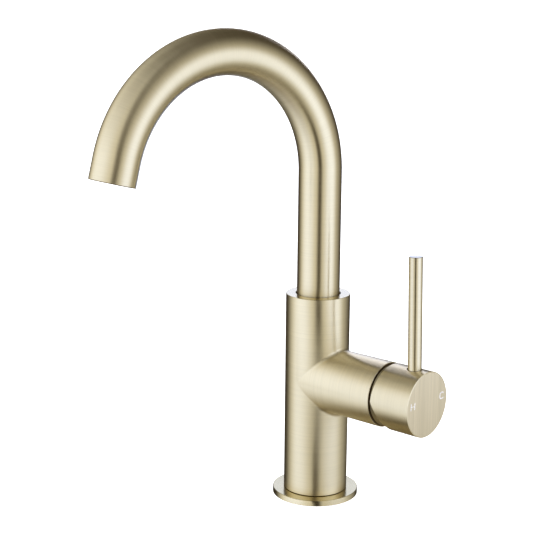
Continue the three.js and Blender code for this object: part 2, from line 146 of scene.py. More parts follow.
def brushed_metal(name, dark, light, roughness, anisotropy, streaks=0.05, depth=0.02):
    """Brush lines run along the mesh's U direction, and the grain attribute's z counts across
    them. Roughness goes up and down by streaks, and the lines are depth millimetres deep."""
    material, nodes, links, shader = node_material(name)
    grain = add(nodes, "ShaderNodeAttribute", attribute_name="grain")
    fine = add(nodes, "ShaderNodeMapping")
    fine.inputs["Scale"].default_value = FINE_GRAIN
    broad = add(nodes, "ShaderNodeMapping")
    broad.inputs["Scale"].default_value = BROAD_GRAIN
    fine_noise = add(nodes, "ShaderNodeTexNoise", Scale=1.0, Detail=3.0, Roughness=0.6)
    broad_noise = add(nodes, "ShaderNodeTexNoise", Scale=1.0, Detail=4.0, Roughness=0.65)
    for mapping, noise in ((fine, fine_noise), (broad, broad_noise)):
        links.new(grain.outputs["Vector"], mapping.inputs["Vector"])
        links.new(mapping.outputs["Vector"], noise.inputs["Vector"])
    both = add(nodes, "ShaderNodeMath", operation="ADD")
    links.new(fine_noise.outputs["Fac"], both.inputs[0])
    links.new(broad_noise.outputs["Fac"], both.inputs[1])
    tone = add(nodes, "ShaderNodeMapRange")
    tone.inputs["From Min"].default_value = 0.6
    tone.inputs["From Max"].default_value = 1.4
    links.new(both.outputs[0], tone.inputs["Value"])
    color = blend_colors(nodes, links, tone.outputs["Result"], dark, light)
    links.new(color, shader.inputs["Base Color"])
    rough = ramp(nodes, links, broad_noise.outputs["Fac"],
                 roughness - streaks, roughness + streaks)
    links.new(rough, shader.inputs["Roughness"])
    bump = add(nodes, "ShaderNodeBump", Strength=0.35, Distance=depth * MM)
    links.new(fine_noise.outputs["Fac"], bump.inputs["Height"])
    links.new(bump.outputs["Normal"], shader.inputs["Normal"])
    tangent = add(nodes, "ShaderNodeTangent", direction_type="UV_MAP", uv_map="brush")
    links.new(tangent.outputs["Tangent"], shader.inputs["Tangent"])
    shader.inputs["Metallic"].default_value = 1
    shader.inputs["Anisotropic"].default_value = anisotropy
    shader.inputs["Anisotropic Rotation"].default_value = 0.25
    return material


def grained(name, dark, light, roughness, *, scale, detail, coarseness, spread, bump_strength,
            depth):
    """A material with one noise for its colour, roughness and bump."""
    material, nodes, links, shader = node_material(name)
    where = add(nodes, "ShaderNodeTexCoord")
    noise = add(nodes, "ShaderNodeTexNoise", Scale=scale, Detail=detail, Roughness=coarseness)
    links.new(where.outputs["Object"], noise.inputs["Vector"])
    grain = noise.outputs["Fac"]
    links.new(blend_colors(nodes, links, grain, dark, light), shader.inputs["Base Color"])
    links.new(ramp(nodes, links, grain, roughness - spread, roughness + spread),
              shader.inputs["Roughness"])
    bump = add(nodes, "ShaderNodeBump", Strength=bump_strength, Distance=depth * MM)
    links.new(grain, bump.inputs["Height"])
    links.new(bump.outputs["Normal"], shader.inputs["Normal"])
    return material, shader


def plain_metal(name, dark, light, roughness):
    """Turned or cast metal without a brushed finish."""
    material, shader = grained(name, dark, light, roughness, scale=900.0, detail=4.0,
                               coarseness=0.6, spread=0.08, bump_strength=0.2, depth=0.02)
    shader.inputs["Metallic"].default_value = 1
    return material


def moulded(name, dark, light, roughness, scale=700.0, depth=0.02):
    """Plastic, rubber or ceramic with a fine surface grain."""
    material, _ = grained(name, dark, light, roughness, scale=scale, detail=5.0,
                          coarseness=0.55, spread=0.06, bump_strength=0.25, depth=depth)
    return material


GOLD_DARK = (0.82, 0.73, 0.49)
GOLD_LIGHT = (0.92, 0.82, 0.56)
around = brushed_metal("champagne_turned", GOLD_DARK, GOLD_LIGHT, 0.34, 0.96)
satin = brushed_metal("champagne_column", GOLD_DARK, GOLD_LIGHT, 0.37, 0.86)
rim = brushed_metal("champagne_rim", GOLD_DARK, GOLD_LIGHT, 0.2, 0.7)
straight = brushed_metal(
    "champagne_straight_grain", (0.75, 0.65, 0.43), (0.97, 0.85, 0.59), 0.40, 0.95, 0.06, 0.03)
# The bonnet's dome is a darker copy of the gold: painted shade in the gap between the branch and
# the cap.
dome_painted_shade = brushed_metal("champagne_dome_painted_shade", (0.52, 0.46, 0.30), (0.60, 0.53, 0.36), 0.34, 0.9)
polished = brushed_metal("champagne_lever", (0.75, 0.67, 0.46), (0.84, 0.75, 0.52), 0.3, 0.97)
# The lever's rounded top end is a darker, greyer copy of the gold: painted shade.
lever_end_painted_shade = brushed_metal(
    "champagne_lever_end_painted_shade", (0.40, 0.38, 0.30), (0.45, 0.43, 0.34), 0.20, 0.5, 0.03, 0.01)
# The tops of the column and flange: a smoother faced finish, and a darker copy of the gold as
# painted shade.
top_painted_shade = brushed_metal(
    "champagne_top_painted_shade", (0.59, 0.50, 0.27), (0.65, 0.56, 0.32), 0.20, 0.5, 0.03, 0.01)
# Dark brass for bores, holes, the foot's underside, the branch's end face and the spout's lip: raw
# brass, darkened as painted shade in these hollows and gaps.
brass_painted_shade = plain_metal("bored_brass_painted_shade", (0.16, 0.11, 0.05), (0.26, 0.18, 0.08), 0.55)
raw_brass = plain_metal("turned_brass", (0.66, 0.50, 0.22), (0.80, 0.64, 0.32), 0.3)
steel = plain_metal("stainless_steel", (0.50, 0.50, 0.50), (0.66, 0.66, 0.65), 0.28)
ceramic = moulded("lapped_ceramic", (0.80, 0.79, 0.75), (0.88, 0.87, 0.84), 0.22, 1500.0, 0.005)
grey_plastic = moulded("grey_moulded_plastic", (0.16, 0.17, 0.18), (0.22, 0.23, 0.25), 0.45)
white_plastic = moulded("white_moulded_plastic", (0.74, 0.74, 0.71), (0.84, 0.84, 0.81), 0.42)
rubber = moulded("black_rubber", (0.012, 0.012, 0.013), (0.03, 0.03, 0.032), 0.72, 1100.0, 0.04)
mark_paint = moulded(
    "white_mark_paint", (0.60, 0.60, 0.64), (0.68, 0.68, 0.72), 0.5, 2500.0, 0.01)


# ------------------------------------------------------------------ mesh building

# Lengths that count as nothing, in millimetres, and the distance to weld over, in metres.
SLIVER, SHORTEST = 1e-7, 1e-6
WELD = 1e-6
# Steps in a rounded edge, and the radius at which the grain is read round a turned piece.
ARC_STEPS = 4
GRAIN_R = 20


class Shell:
    """Collects grids of quads in millimetres, each with its brush UVs, grain and material."""

    def __init__(self, materials):
        self.materials = materials
        self.verts, self.faces, self.loops, self.slots = [], [], [], []

    def grid(self, rows, slot=0):
        """rows of (point, normal or None, uv, grain); faces look along row x next row."""
        start = len(self.verts)
        width = len(rows[0])
        for row in rows:
            self.verts.extend(p[0] for p in row)
        for i in range(len(rows) - 1):
            for j in range(width - 1):
                corners = ((i, j), (i, j + 1), (i + 1, j + 1), (i + 1, j))
                points = [rows[a][b][0] for a, b in corners]
                kept = [k for k in range(4) if (points[k] - points[k - 1]).length > SLIVER]
                if len(kept) < 3:
                    continue
                self.faces.append([start + corners[k][0] * width + corners[k][1] for k in kept])
                self.loops.append([rows[corners[k][0]][corners[k][1]][1:] for k in kept])
                self.slots.append(slot)

    def build(self, name, smooth_from_grids=True):
        """The mesh in metres, with the grids' own normals or else welded into one skin."""
        mesh = bpy.data.meshes.new(name)
        mesh.from_pydata([p * MM for p in self.verts], [], self.faces)
        uv = mesh.uv_layers.new(name="brush")
        grain = mesh.attributes.new("grain", "FLOAT_VECTOR", "CORNER")
        flat = [loop for face in self.loops for loop in face]
        uv.data.foreach_set("uv", [c * MM for loop in flat for c in loop[1]])
        grain.data.foreach_set("vector", [c * MM for loop in flat for c in loop[2]])
        mesh.polygons.foreach_set("material_index", self.slots)
        mesh.polygons.foreach_set("use_smooth", [True] * len(self.faces))
        for material in self.materials:
            mesh.materials.append(material)
        if smooth_from_grids:
            mesh.normals_split_custom_set([tuple(loop[0]) for loop in flat])
        else:
            cleaned = bmesh.new()
            cleaned.from_mesh(mesh)
            bmesh.ops.remove_doubles(cleaned, verts=cleaned.verts, dist=WELD)
            cleaned.to_mesh(mesh)
            cleaned.free()
        obj = bpy.data.objects.new(name, mesh)
        bpy.context.scene.collection.objects.link(obj)
        return obj


def corner_arcs(outline, closed):
    """[(r, s, rounding, slot)] to segments (start, end, start normal, end normal, slot)."""
    count = len(outline)
    points = [Vector((r, s)) for r, s, *_ in outline]
    around_corner = []
    for i, corner in enumerate(outline):
        before, here, after = points[i - 1], points[i], points[(i + 1) % count]
        rounding = corner[2] if len(corner) > 2 else 0
        at_end = not closed and i in (0, count - 1)
        if rounding == 0 or at_end:
            around_corner.append(([here], None))
            continue
        come, go = (here - before).normalized(), (after - here).normalized()
        turn = math.atan2(come.x * go.y - come.y * go.x, come.dot(go))
        reach = rounding * math.tan(abs(turn) / 2)
        side = Vector((-come.y, come.x)) * math.copysign(rounding, turn)
        centre = here - come * reach + side
        arc = []
        for k in range(ARC_STEPS + 1):
            a = turn * k / ARC_STEPS
            x, y = -side.x, -side.y
            arc.append(centre + Vector((x * math.cos(a) - y * math.sin(a),
                                        x * math.sin(a) + y * math.cos(a))))
        around_corner.append((arc, (centre, math.copysign(1, turn))))
    segments = []
    for i in range(count if closed else count - 1):
        arc, how = around_corner[i]
        slot = outline[i][3] if len(outline[i]) > 3 else 0
        if how:
            centre, sign = how
            for p, q in zip(arc, arc[1:]):
                out_p, out_q = ((point - centre).normalized() * sign for point in (p, q))
                segments.append((p, q, out_p, out_q, slot))
        p, q = arc[-1], around_corner[(i + 1) % count][0][0]
        if (q - p).length > SHORTEST:
            d = (q - p).normalized()
            segments.append((p, q, Vector((d.y, -d.x)), Vector((d.y, -d.x)), slot))
    return segments


def turned(name, outline, place, materials, closed=False, sides=128, angles=None, shell=None):
    """A turned piece, or with a shell only its grids in that shell. The outline is a list of
    (radius, height, edge rounding, material slot), the last two left out where they are 0. It
    runs anticlockwise: inner or lower end, outwards, up, inwards."""
    own = shell is None
    shell = shell or Shell(materials)
    spin = place.to_3x3()
    angles = angles or [2 * math.pi * j / sides for j in range(sides + 1)]
    length = 0
    for p, q, out_p, out_q, slot in corner_arcs(outline, closed):
        rows = []
        for point, normal in ((p, out_p), (q, out_q)):
            row = []
            for a in angles:
                c, s = math.cos(a), math.sin(a)
                local = Vector((point.x * c, point.x * s, point.y))
                along = length + (point - p).length
                out = Vector((normal.x * c, normal.x * s, normal.y))
                row.append((place @ local, spin @ out, (a * max(p.x, q.x), along),
                            (GRAIN_R * c, GRAIN_R * s, along)))
            rows.append(row)
        shell.grid(rows, slot)
        length += (q - p).length
    return shell.build(name) if own else None


def finish_shading(obj, angle=32):
    """Sharp edges by angle, then area-weighted normals."""
    obj.data.set_sharp_from_angle(angle=math.radians(angle))
    modifier = obj.modifiers.new("weighted", "WEIGHTED_NORMAL")
    modifier.mode = "FACE_AREA"
    modifier.keep_sharp = True
    modifier.weight = 80


def applied(obj):
    """Replaces the object's mesh by its modified one."""
    bpy.context.view_layer.update()
    graph = bpy.context.evaluated_depsgraph_get()
    made = bpy.data.meshes.new_from_object(obj.evaluated_get(graph), depsgraph=graph)
    obj.modifiers.clear()
    obj.data = made


def cut(obj, cutter):
    """Takes the cutter's volume out of the object, and deletes the cutter."""
    modifier = obj.modifiers.new("cut", "BOOLEAN")
    modifier.operation = "DIFFERENCE"
    modifier.solver = "EXACT"
    modifier.object = cutter
    applied(obj)
    bpy.data.objects.remove(cutter)


def show(obj, body, slot, *nodes):
    """Puts a piece on its body and hides the CAD nodes that it stands for. The slot is not used.
    """
    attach(obj, body)
    if nodes:
        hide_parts(*nodes)
    return obj


# ------------------------------------------------------------------ column and branch

# The fillet between column and branch, and the rounding of their ends.
FILLET = 2.6
EDGE = 0.3
SIDE_STEPS, ROW_STEPS, FILLET_STEPS = 96, 4, 7


def body_shell():
    """Two equal round bars that meet at right angles, with a rolling-ball fillet in the corner."""
    shell = Shell([satin, brass_painted_shade, top_painted_shade])
    reach = BODY_R + FILLET
    front = [math.pi * (i / SIDE_STEPS - 0.5) for i in range(SIDE_STEPS + 1)]
    back = [math.pi * (i / SIDE_STEPS + 0.5) for i in range(SIDE_STEPS + 1)]
    foot, top, end = FOOT_Z + EDGE, BODY_TOP - EDGE, BRANCH_END - EDGE

    def column(t, z):
        p = Vector((BODY_R * math.cos(t), BODY_R * math.sin(t), z))
        return (p, None, (t * BODY_R, z), tuple(p))

    def bar(t, sign, x):
        p = Vector((x, BODY_R * math.sin(t), BRANCH_Z + sign * BODY_R * math.cos(t)))
        return (p, None, (-sign * t * BODY_R, x), (p.y, p.z, p.x))

    def spread(low, high):
        return [low + (high - low) * k / ROW_STEPS for k in range(ROW_STEPS + 1)]

    def rows(strips):
        return [list(row) for row in zip(*strips)]

    shell.grid(rows([[column(t, z) for z in spread(foot, BRANCH_Z - reach * math.cos(t))]
                     for t in front]))
    shell.grid(rows([[column(t, z) for z in spread(BRANCH_Z + reach * math.cos(t), top)]
                     for t in front]))
    shell.grid(rows([[column(t, z) for z in spread(foot, BRANCH_Z)] for t in back]))
    shell.grid(rows([[column(t, z) for z in spread(BRANCH_Z, top)] for t in back]))

    for sign in (-1, 1):
        fillet, branch = [], []
        for t in front:
            c, s = math.cos(t), math.sin(t)
            centre = Vector((reach * c, reach * s, BRANCH_Z + sign * reach * c))
            to_column = Vector((-FILLET * c, -FILLET * s, 0))
            to_branch = Vector((0, -FILLET * s, -sign * FILLET * c))
            angle = math.acos(min(1, s * s))
            strip = []
            for k in range(FILLET_STEPS + 1):
                f = k / FILLET_STEPS
                if angle > 1e-4:
                    arm = (math.sin((1 - f) * angle) * to_column
                           + math.sin(f * angle) * to_branch) / math.sin(angle)
                else:
                    arm = to_column * (1 - f) + to_branch * f
                p = centre + arm
                strip.append((p, None, (t * BODY_R, f * angle * FILLET), (p.x, p.y, p.z)))
            fillet.append(strip)
            branch.append([bar(t, sign, x) for x in spread(reach * c, end)])
        for strips in (fillet, branch):
            shell.grid(rows(strips)[::-sign])

    around_column = front + back[1:]
    turned("", [
        (BODY_R, top), (BODY_R, BODY_TOP, EDGE, 2), (MOUTH_R, BODY_TOP, 0, 1),
        (MOUTH_R, MOUTH_FLOOR, 0, 1), (TAIL_BORE_R, MOUTH_FLOOR, 0, 1),
        (TAIL_BORE_R, TAIL_BORE_FLOOR, 0, 1), (WATERWAY_R, TAIL_BORE_FLOOR, 0, 1),
        (WATERWAY_R, WATERWAY_FLOOR, 0, 1), (0, WATERWAY_FLOOR),
    ], UPRIGHT, None, angles=around_column, shell=shell)
    turned("", [
        (0, 0, 0, 1), (FOOT_R, 0, 0, 1), (FOOT_R, FOOT_Z), (BODY_R, FOOT_Z, EDGE), (BODY_R, foot),
    ], UPRIGHT, None, angles=around_column, shell=shell)
    around_branch = [t - math.pi / 2 for t in front] + [math.pi / 2 + t for t in front[1:]]
    # The branch's end face inside its rim takes the dark brass, as painted shade in the gap before
    # the cap.
    turned("", [
        (BODY_R, end), (BODY_R, BRANCH_END, EDGE), (BODY_R - 0.35, BRANCH_END, 0, 1),
        (NUT_BORE_R, BRANCH_END, 0, 1), (NUT_BORE_R, NUT_BORE_FLOOR, 0, 1),
        (CHAMBER_R, NUT_BORE_FLOOR, 0, 1), (CHAMBER_R, CHAMBER_FLOOR, 0, 1), (0, CHAMBER_FLOOR),
    ], BRANCH, None, angles=around_branch, shell=shell)
    body = shell.build("mixer_body_skin", smooth_from_grids=False)

    holes = Shell([brass_painted_shade])
    turned("", [(0, 8.9), (2.6, 8.9), (2.6, 22), (0, 22)], LOCK, None, sides=48, shell=holes)
    turned("", [(0, -1), (STUD_R, -1), (STUD_R, STUD_TOP), (0, STUD_TOP)],
           Matrix.Translation((STUD_X, 0, 0)), None, sides=64, shell=holes)
    for y in (-HOSE_Y, HOSE_Y):
        turned("", [
            (0, -1), (HOSE_R, -1), (HOSE_R, HOSE_TOP), (FEED_R, HOSE_TOP), (FEED_R, FEED_TOP),
            (0, FEED_TOP),
        ], Matrix.Translation((HOSE_X, y, 0)), None, sides=64, shell=holes)
    cut(body, holes.build("holes", smooth_from_grids=False))
    finish_shading(body)
    return body


show(body_shell(), "mixer_body", "champagne_metal", "mixer_body")

flange = turned("base_flange_ring", [
    (FOOT_R + 0.3, 0), (GROOVE_IN, 0), (GROOVE_IN, GROOVE_DEPTH), (GROOVE_OUT, GROOVE_DEPTH),
    (GROOVE_OUT, 0), (FLANGE_R, 0, 0.25), (FLANGE_R, FLANGE_H, 0.4, 1), (FOOT_R + 0.3, FLANGE_H),
], UPRIGHT, [rim, top_painted_shade], closed=True, sides=192)
show(flange, "mixer_body", "champagne_metal", "base_flange")

DOME_STEPS = 8
bonnet_outline = [(16.5, 56), (18.6, 56), (18.6, DOME_FROM)]
for i in range(DOME_STEPS + 1):
    x = DOME_FROM + DOME_DEPTH * i / DOME_STEPS
    bonnet_outline.append((math.sqrt(DOME_R ** 2 - (x - PIVOT_X) ** 2), x))
bonnet_outline += [(13.6, 64.8, 0.2), (13.6, 64.0), (16.5, 60.5)]
bonnet = turned("bonnet_dome", bonnet_outline, BRANCH, [dome_painted_shade], closed=True, sides=160)
show(bonnet, "mixer_body", "champagne_metal", "bonnet_ring")


# ------------------------------------------------------------------ spout

# The tube's last LIP millimetres are its rounded end, drawn apart from the swept tube.
LIP = 0.5
FOOT_STEPS, BEND_STEPS, TUBE_SIDES = 3, 132, 112
TUBE_STEPS = FOOT_STEPS + BEND_STEPS + 1


def spout_centre(step):
    """Centre line point and direction in the spout's plane: (reach, height), angle."""
    if step <= FOOT_STEPS:
        return (0, TUBE_FOOT + (ARC_Z - TUBE_FOOT) * step / FOOT_STEPS), 0.0
    angle = ARC_SWEEP * min(step - FOOT_STEPS, BEND_STEPS) / BEND_STEPS
    reach = ARC_R * (1 - math.cos(angle))
    height = ARC_Z + ARC_R * math.sin(angle)
    if step > FOOT_STEPS + BEND_STEPS:
        onward = (TIP - LIP) * (step - FOOT_STEPS - BEND_STEPS)
        reach += onward * math.sin(angle)
        height += onward * math.cos(angle)
    return (reach, height), angle


def spout_frame(step):
    """Matrix whose +Z runs along the tube at that step."""
    (reach, height), angle = spout_centre(step)
    along = Vector((0, -math.sin(angle), math.cos(angle)))
    across = Vector((1, 0, 0))
    third = along.cross(across)
    m = Matrix((
        (across.x, third.x, along.x, 0),
        (across.y, third.y, along.y, -reach),
        (across.z, third.z, along.z, height),
        (0, 0, 0, 1),
    ))
    return SPOUT @ m


def spout_tube():
    """The bent tube, outside and bore. The brush lines run round it."""
    shell = Shell([around, brass_painted_shade])
    angles = [2 * math.pi * j / TUBE_SIDES for j in range(TUBE_SIDES + 1)]
    for radius, outside, slot in ((TUBE_R, 1, 0), (TUBE_BORE_R, -1, 1)):
        rows, length, last = [], 0, None
        for step in range(TUBE_STEPS + 1):
            place = spout_frame(step)
            here = place.translation
            length += (here - last).length if last else 0
            last = here.copy()
            spin = place.to_3x3()
            row = []
            for a in angles:
                d = Vector((math.cos(a), math.sin(a), 0))
                row.append((place @ (d * radius), spin @ d * outside, (a * radius, length),
                            (TUBE_R * d.x, TUBE_R * d.y, length)))
            rows.append(row)
        shell.grid(rows[::outside], slot)
    # The lip's outer rounding and end take the dark brass, as a painted shade line round the
    # outlet.
    turned("", [
        (TUBE_R, 0), (TUBE_R, LIP, 0.48, 1), (TUBE_R - 0.6, LIP), (TUBE_BORE_R, LIP, 0.15, 1),
        (TUBE_BORE_R, 0),
    ], spout_frame(TUBE_STEPS), None, sides=TUBE_SIDES, shell=shell)
    foot = SPOUT @ Matrix.Translation((0, 0, TUBE_FOOT))
    turned("", [(TUBE_BORE_R, 0), (TUBE_R, 0)], foot, None, sides=TUBE_SIDES, shell=shell)
    return shell.build("spout_bent_tube")


show(spout_tube(), "spout", "champagne_metal", "spout_tube")

# The outlet's pieces are drawn with their heights counted from the tube's end up its bore.
OUTLET = (spout_frame(TUBE_STEPS) @ Matrix.Translation((0, 0, LIP))
          @ Matrix.Rotation(math.pi, 4, "X"))
insert = turned("outlet_sleeve", [
    (10.2, 1), (11.8, 1, 0.2), (11.8, 13.2), (8, 13.2), (8, 12.2), (10.2, 12.2),
], OUTLET, [raw_brass], closed=True, sides=96)
show(insert, "spout", "raw_brass", "outlet_insert")

housing = turned("aerator_cup", [
    (8.2, 1.6, 0.2), (9.8, 1.6, 0.3), (9.8, 10), (6.5, 10), (6.5, 8.3), (8.2, 8.3),
], OUTLET, [white_plastic], closed=True, sides=96)
show(housing, "spout", "white_plastic", "aerator_housing")

GRID_RINGS = ((0, 1.3), (2.3, 2.8), (3.9, 4.4), (5.5, 6.0), (7.1, 7.9))
GRID_LOW, GRID_HIGH = 3.6, 7.6
SPOKES = 12
SPOKE_LOW, SPOKE_HIGH = (1.1, -0.22, 3.8), (7.2, 0.22, 7.4)
BLOCK_SIDES = ((0, 2, 3, 1), (4, 5, 7, 6), (0, 1, 5, 4), (2, 6, 7, 3), (1, 3, 7, 5), (0, 4, 6, 2))


def aerator_core():
    """A round grid of ribs: rings joined by spokes, as a jet regulator has."""
    shell = Shell([white_plastic])
    for inner, outer in GRID_RINGS:
        outline = [(inner, GRID_LOW), (outer, GRID_LOW), (outer, GRID_HIGH), (inner, GRID_HIGH)]
        turned("", outline, OUTLET, None, closed=inner > 0, sides=72, shell=shell)
    (x0, y0, z0), (x1, y1, z1) = SPOKE_LOW, SPOKE_HIGH
    corners = [Vector((x, y, z)) for z in (z0, z1) for y in (y0, y1) for x in (x0, x1)]
    for k in range(SPOKES):
        spoke = OUTLET @ Matrix.Rotation(2 * math.pi * k / SPOKES, 4, "Z")
        spin = spoke.to_3x3()
        for quad in BLOCK_SIDES:
            a, b, c, d = (corners[q] for q in quad)
            normal = (b - a).cross(c - a).normalized()
            row = [(spoke @ p, spin @ normal, (p.x, p.y), tuple(p)) for p in (a, b, c, d)]
            shell.grid([[row[0], row[1]], [row[3], row[2]]])
    return shell.build("aerator_grid")


show(aerator_core(), "spout", "white_plastic", "aerator_core")


# ------------------------------------------------------------------ handle

def cutting_block(low, high, place):
    """A plain block, used only to cut with."""
    mesh = bpy.data.meshes.new("block")
    made = bmesh.new()
    size = Vector(high) - Vector(low)
    middle = (Vector(high) + Vector(low)) / 2
    bmesh.ops.create_cube(made, size=1, matrix=(
        Matrix.Scale(MM, 4) @ place @ Matrix.Translation(middle) @ Matrix.Diagonal((*size, 1))))
    made.to_mesh(mesh)
    made.free()
    obj = bpy.data.objects.new("block", mesh)
    bpy.context.scene.collection.objects.link(obj)
    return obj


def straighten_grain(obj, slot):
    """Brush lines of the flat faces in that slot run up the handle."""
    uv = obj.data.uv_layers["brush"].data
    grain = obj.data.attributes["grain"].data
    for face in obj.data.polygons:
        if face.material_index != slot:
            continue
        for i in face.loop_indices:
            p = obj.data.vertices[obj.data.loops[i].vertex_index].co
            uv[i].uv = (p.z, p.y)
            grain[i].vector = (p.z, 0.3, p.y)


AT_PIVOT = Matrix.Translation((PIVOT_X, 0, BRANCH_Z))
AT_BACK = Matrix.Translation((CAP_BACK, 0, BRANCH_Z))

# The room left between the tilted cap and the branch, the chamfer of the cap's back rim, and
# the angle from which an edge counts as sharp.
TILT_GAP = 0.4
REAR_CHAMFER = 0.45
SHARP = math.radians(38)


def weigh_edges(cap):
    """The rim at the cap's back takes the whole chamfer, the hole edges a little of it."""
    made = bmesh.new()
    made.from_mesh(cap.data)
    weight = made.edges.layers.float.new("bevel_weight_edge")
    for edge in made.edges:
        if len(edge.link_faces) != 2 or edge.calc_face_angle() < SHARP:
            continue
        middle = (edge.verts[0].co + edge.verts[1].co) / 2 / MM
        out = math.hypot(middle.y, middle.z - BRANCH_Z)
        if out > BODY_R - 0.3 and middle.x < CAP_BACK + 4:
            edge[weight] = 1
        elif out > BODY_R - 0.8 and middle.x < CAP_FACE - 1:
            edge[weight] = 0.3
    made.to_mesh(cap.data)
    made.free()


def handle_cap():
    shell = Shell([around, straight, brass_painted_shade])
    turned("", [
        (0, 70.5, 0, 2), (15, 70.5, 0, 2), (CAP_BORE_R, 66, 0, 2), (CAP_BORE_R, CAP_BACK),
        (BODY_R, CAP_BACK), (BODY_R, CAP_FACE - 0.22), (BODY_R - 0.6, CAP_FACE, 0, 1),
        (0, CAP_FACE),
    ], BRANCH, None, sides=192, shell=shell)
    cap = shell.build("handle_cap_shell", smooth_from_grids=False)
    straighten_grain(cap, 1)
    reach = BRANCH_END + TILT_GAP - PIVOT_X
    cut(cap, cutting_block((reach - 60, -40, -60), (reach, 40, 60),
                           AT_PIVOT @ Matrix.Rotation(-TILT, 4, "Y")))
    cut(cap, cutting_block((-20, -40, -40), (0, 40, 40),
                           AT_BACK @ Matrix.Rotation(CAP_BACK_SLOPE, 4, "Y")))
    holes = Shell([brass_painted_shade])
    turned("", [
        (0, 11.7), (3.2, 11.7), (3.2, 18.7), (LEVER_HOLE_R, 18.7), (LEVER_HOLE_R, 23), (0, 23),
    ], LEVER, None, sides=96, shell=holes)
    turned("", [(0, -22), (2.6, -22), (2.6, -3.5), (0, -3.5)], GRUB, None, sides=64, shell=holes)
    cut(cap, holes.build("holes", smooth_from_grids=False))
    weigh_edges(cap)
    bevel = cap.modifiers.new("edges", "BEVEL")
    bevel.width = REAR_CHAMFER * MM
    bevel.segments = 2
    bevel.limit_method = "WEIGHT"
    bevel.use_clamp_overlap = False
    applied(cap)
    finish_shading(cap, 40)
    return cap


show(handle_cap(), "handle", "champagne_metal", "handle_cap")

lever = turned("pin_lever", [
    (0, 12), (2.9, 12), (2.9, 19), (LEVER_R, 19), (LEVER_R, LEVER_LENGTH, 0.4, 1),
    (0, LEVER_LENGTH),
], LEVER, [polished, lever_end_painted_shade], sides=96)
show(lever, "handle", "champagne_metal", "lever_rod")


KEY_R = 2.5 / math.sqrt(3)


def socket_screw(name, outline, place, key_from, key_to):
    """A small screw with a hexagon key socket."""
    shell = Shell([steel])
    turned("", outline, place, None, sides=64, shell=shell)
    screw = shell.build(name, smooth_from_grids=False)
    key = Shell([steel])
    turned("", [(0, key_from), (KEY_R, key_from), (KEY_R, key_to), (0, key_to)], place, None,
           sides=6, shell=key)
    cut(screw, key.build("key", smooth_from_grids=False))
    finish_shading(screw)
    return screw


lock_screw = socket_screw("lock_screw_with_socket", [
    (0, 8.0), (1.5, 8.0), (1.5, 10.4), (2.25, 11.1), (2.25, 20, 0.25), (0, 20),
], LOCK, 17, 21)
show(lock_screw, "mixer_body", "steel", "spout_lock_screw")
grub_screw = socket_screw("grub_screw_with_socket", [
    (0, -12), (2.25, -12, 0.25), (2.25, -3.9, 0.2), (0, -3.9),
], GRUB, -13, -9)
show(grub_screw, "handle", "steel", "handle_grub_screw")

gasket = turned("base_gasket_ring", [
    (20.5, 0.1, 0.4), (25.5, 0.1, 0.4), (25.5, 2.2, 0.2), (20.5, 2.2, 0.2),
], UPRIGHT, [rubber], closed=True, sides=144)
show(gasket, "mixer_body", "rubber", "base_gasket")


# ------------------------------------------------------------------ hot and cold marks

# The paint's lower and upper face, above the cap's.
PAINT_LOW, PAINT_HIGH = 0.004, 0.035


def mark(name, outline, y, z):
    """A thin painted letter on the handle's face, from its outline in millimetres."""
    made = bmesh.new()
    low, high = ([made.verts.new(Vector((CAP_FACE + lift, y + a, BRANCH_Z + z + b)) * MM)
                  for a, b in outline] for lift in (PAINT_LOW, PAINT_HIGH))
    made.faces.new(high)
    made.faces.new(low[::-1])
    for i in range(len(outline)):
        j = (i + 1) % len(outline)
        made.faces.new((low[i], low[j], high[j], high[i]))
    bmesh.ops.recalc_face_normals(made, faces=made.faces)
    mesh = bpy.data.meshes.new(name)
    made.to_mesh(mesh)
    made.free()
    mesh.materials.append(mark_paint)
    obj = bpy.data.objects.new(name, mesh)
    bpy.context.scene.collection.objects.link(obj)
    return show(obj, "handle", "white_plastic")


def letter_h(half_width, half_height, stroke):
    """Two uprights and a thinner bar."""
    w, h, s, bar = half_width, half_height, stroke, stroke / 4
    return [(-w, -h), (-w + s, -h), (-w + s, -bar), (w - s, -bar), (w - s, -h), (w, -h),
            (w, h), (w - s, h), (w - s, bar), (-w + s, bar), (-w + s, h), (-w, h)]


def letter_c(half_width, half_height, stroke):
    """A squarish open ring, thinner at its top and bottom."""
    steps, gap, squareness = 36, math.radians(32), 0.7
    angles = [gap + (2 * math.pi - 2 * gap) * i / steps for i in range(steps + 1)]

    def squared(value):
        return math.copysign(abs(value) ** squareness, value)

    def ring(width, height):
        return [(width * squared(math.cos(a)), height * squared(math.sin(a))) for a in angles]

    inner = ring(half_width - stroke, half_height - stroke * 0.7)
    return ring(half_width, half_height) + inner[::-1]


mark("hot_mark", letter_h(2.25, 2.2, 0.68), -15.1, 2.2)
mark("cold_mark", letter_c(2.35, 2.3, 0.76), 15.4, 2.6)


# ------------------------------------------------------------------ pieces kept from the CAD

by_slot = {
    "champagne_metal": around,
    "raw_brass": raw_brass,
    "steel": steel,
    "ceramic": ceramic,
    "grey_plastic": grey_plastic,
    "white_plastic": white_plastic,
    "rubber": rubber,
}
slot_of = {s["node"]: s["material_slot"] for s in frame["record"]["subparts"]}
for node, obj in frame["nodes"].items():
    if not obj.material_slots:
        obj.data.materials.append(by_slot[slot_of[node]])
    for material_slot in obj.material_slots:
        material_slot.material = by_slot[slot_of[node]]


# ------------------------------------------------------------------ camera

# TURN is the camera's way round the column. YAW, PITCH and ROLL are its own aim, in radians.
TURN = 0.6924
YAW, PITCH, ROLL = 0.0393, 0.2183, 0.0083
CAMERA_AWAY, CAMERA_UP = 0.86273, 0.34564
LENS, SENSOR = 91.69, 36


